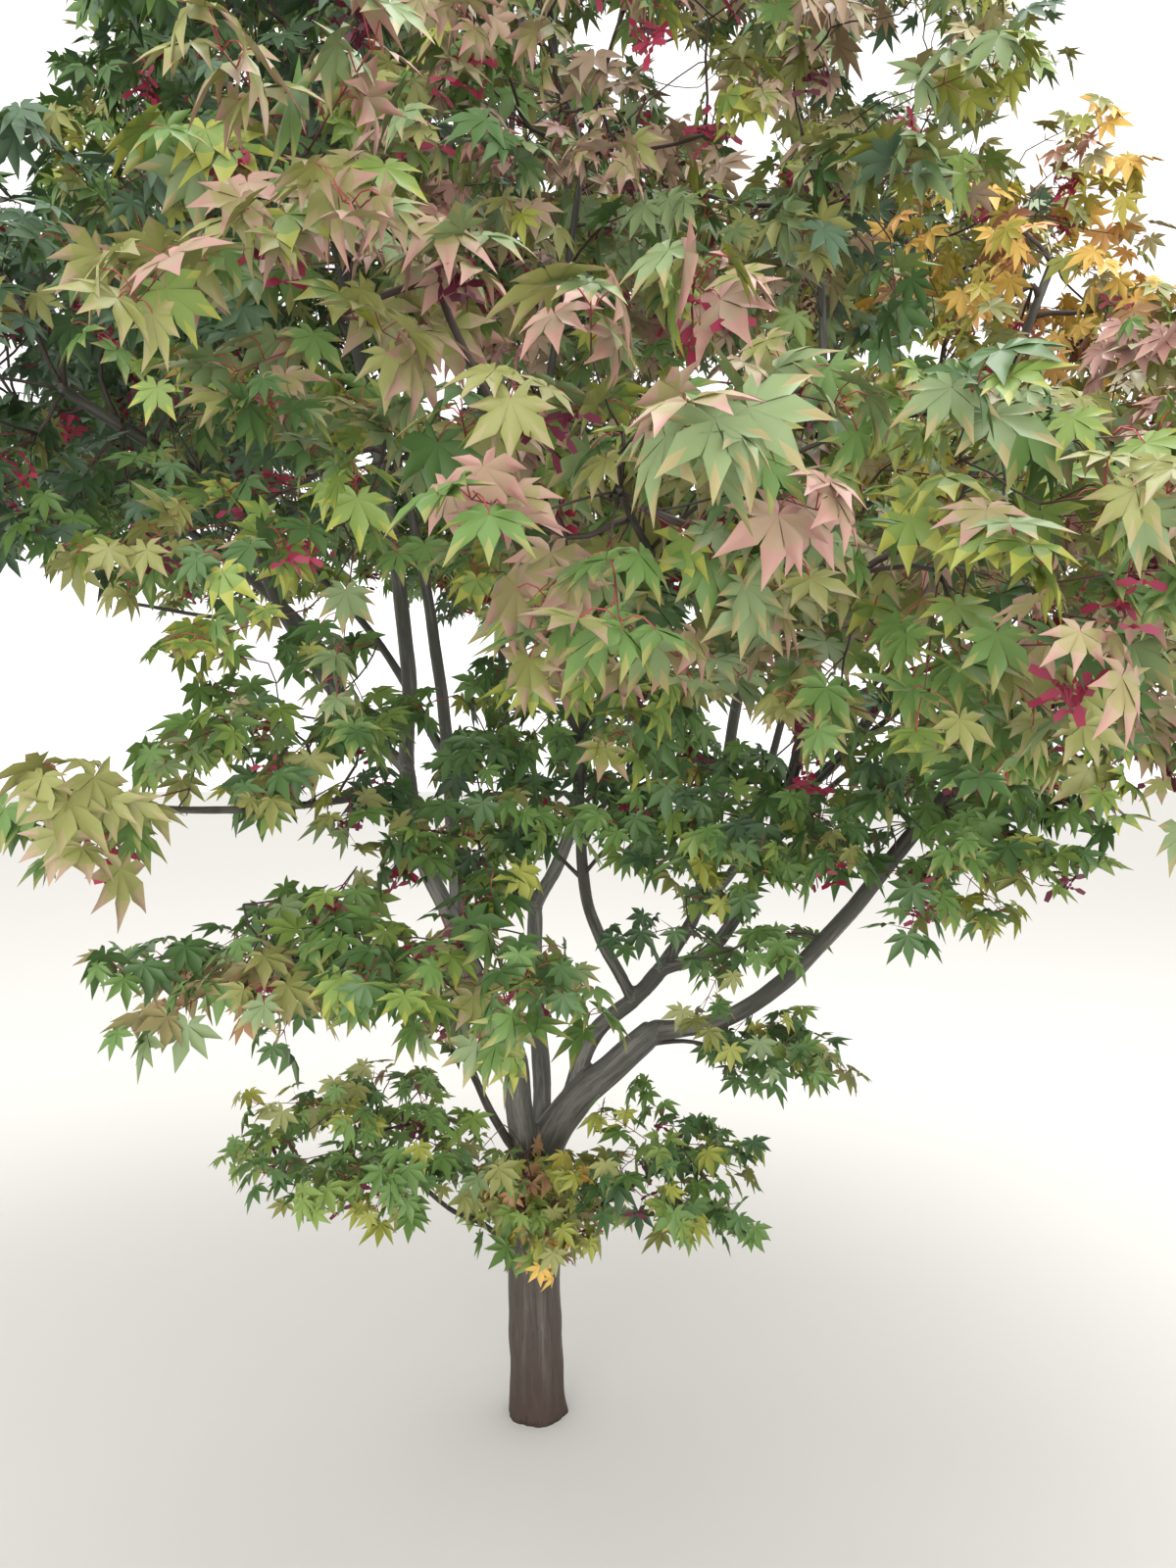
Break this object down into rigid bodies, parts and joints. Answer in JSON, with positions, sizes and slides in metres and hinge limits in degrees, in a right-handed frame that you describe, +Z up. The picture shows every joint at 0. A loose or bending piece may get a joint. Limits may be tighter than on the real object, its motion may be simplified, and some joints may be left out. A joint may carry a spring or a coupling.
{
  "type": "japanese maple tree",
  "caption": "Broad ornamental tree with a short trunk, spreading boughs and a layered crown of lobed leaves turning from green to pink and gold in autumn.",
  "frame": {"origin": "middle of the flat cut under the trunk, at ground level", "axes": "+Z up along the trunk, -Y towards the front of the crown as the picture shows it, +X to the right of that view"},
  "size_m": [3.5914, 3.7158, 3.9102],
  "materials": {
    "bark_trunk": "finely fissured bark, reddish brown at the foot and grey above",
    "bark_limb": "smooth grey bark with pale streaks, darker and greener on young limbs",
    "foliage": "soft matt leaf with a slight gloss, green turning pink, olive and gold",
    "twig": "smooth young wood, dark with red leaf stalks",
    "seed": "papery crimson winged seeds"
  },
  "bodies": {
    "root": {"back": "foliage", "back_high": "foliage", "back_high_left": "foliage", "back_high_right": "foliage", "back_left": "foliage", "back_right": "foliage", "bough_back": "bark_limb", "bough_back_left": "bark_limb", "bough_inner": "bark_limb", "bough_inner_back": "bark_limb", "bough_inner_right": "bark_limb", "bough_left": "bark_limb", "bough_left_outer": "bark_limb", "bough_right": "bark_limb", "bough_right_outer": "bark_limb", "bough_right_side": "bark_limb", "branch_back_right": "bark_limb", "branch_inner_up": "bark_limb", "branch_left_droop": "bark_limb", "branch_left_spray": "bark_limb", "centre_low": "foliage", "centre_top_front": "foliage", "front_centre": "foliage", "front_inner": "foliage", "front_left": "foliage", "front_left_low": "foliage", "front_right": "foliage", "inner_centre": "foliage", "inner_left": "foliage", "inner_low_right": "foliage", "inner_right": "foliage", "left": "foliage", "left_drooping": "foliage", "left_front": "foliage", "left_middle": "foliage", "left_spray": "foliage", "left_top_front": "foliage", "low_front": "foliage", "low_left": "foliage", "low_right": "foliage", "right": "foliage", "right_front": "foliage", "right_front_low": "foliage", "right_gold": "foliage", "right_low": "foliage", "right_middle": "foliage", "right_top_front": "foliage", "shoot_low_left": "bark_limb", "shoot_low_right": "bark_limb", "stem_centre": "bark_limb", "stem_centre_front": "bark_limb", "stem_centre_top": "bark_limb", "stem_front": "bark_limb", "stem_front_left": "bark_limb", "stem_front_right": "bark_limb", "stem_left": "bark_limb", "stem_left_back": "bark_limb", "stem_left_front": "bark_limb", "top": "foliage", "trunk": "bark_trunk"}
  },
  "joints": []
}
